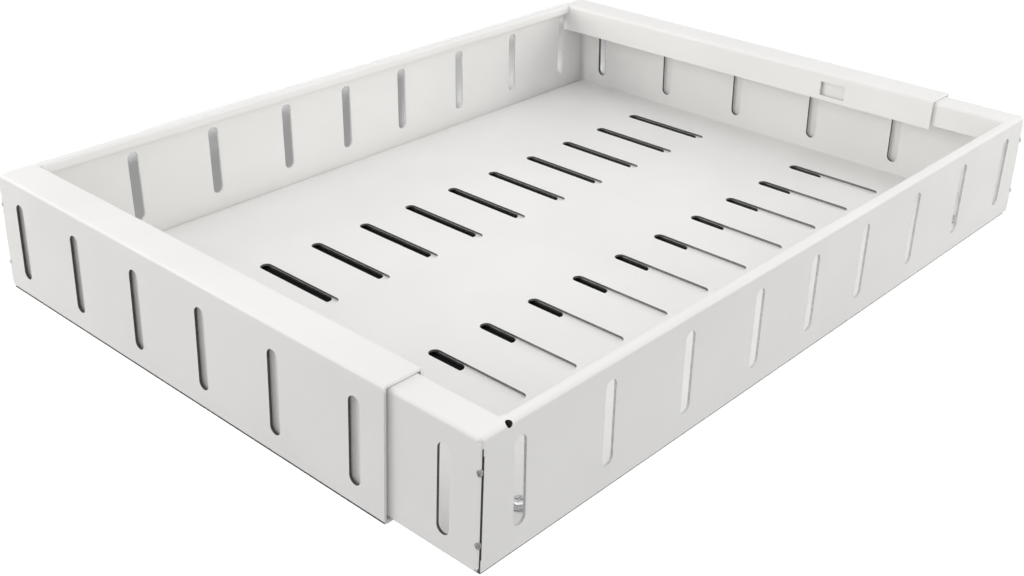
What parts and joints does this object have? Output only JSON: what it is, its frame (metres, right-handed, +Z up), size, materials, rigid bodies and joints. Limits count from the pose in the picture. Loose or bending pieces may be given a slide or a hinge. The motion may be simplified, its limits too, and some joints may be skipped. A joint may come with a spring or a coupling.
{
  "type": "under desk drawer tray",
  "caption": "Open rectangular sheet-metal drawer tray in two nesting halves that slide apart to set its width, with slotted walls, slotted floor and rolled rims.",
  "frame": {"origin": "centre of the closed tray's underside, on the plane it stands on", "axes": "+X along the width, the way the inner half pulls out; +Y from the front wall to the back wall; +Z up"},
  "size_m": [0.3216, 0.4392, 0.06],
  "materials": {
    "powder_coat": "white powder coat on sheet steel, fine texture, satin",
    "plated_steel": "bright zinc plate"
  },
  "bodies": {
    "outer_half": {"outer_channel": "powder_coat", "outer_end_wall": "powder_coat", "outer_tack_weld_front_lower": "powder_coat", "outer_tack_weld_front_upper": "powder_coat", "outer_tack_weld_back_lower": "powder_coat", "outer_tack_weld_back_upper": "powder_coat"},
    "inner_half": {"inner_channel": "powder_coat", "inner_end_wall": "powder_coat", "inner_tack_weld_front_lower": "powder_coat", "inner_tack_weld_front_upper": "powder_coat", "inner_tack_weld_back_lower": "powder_coat", "inner_tack_weld_back_upper": "powder_coat", "floor_screw_front": "plated_steel", "floor_screw_back": "plated_steel", "clinch_nut_front": "plated_steel", "clinch_nut_back": "plated_steel"}
  },
  "joints": [
    {"name": "width_slide", "type": "slide", "parent": "outer_half", "child": "inner_half", "axis": [1, 0, 0], "range_m": [0, 0.205]}
  ]
}
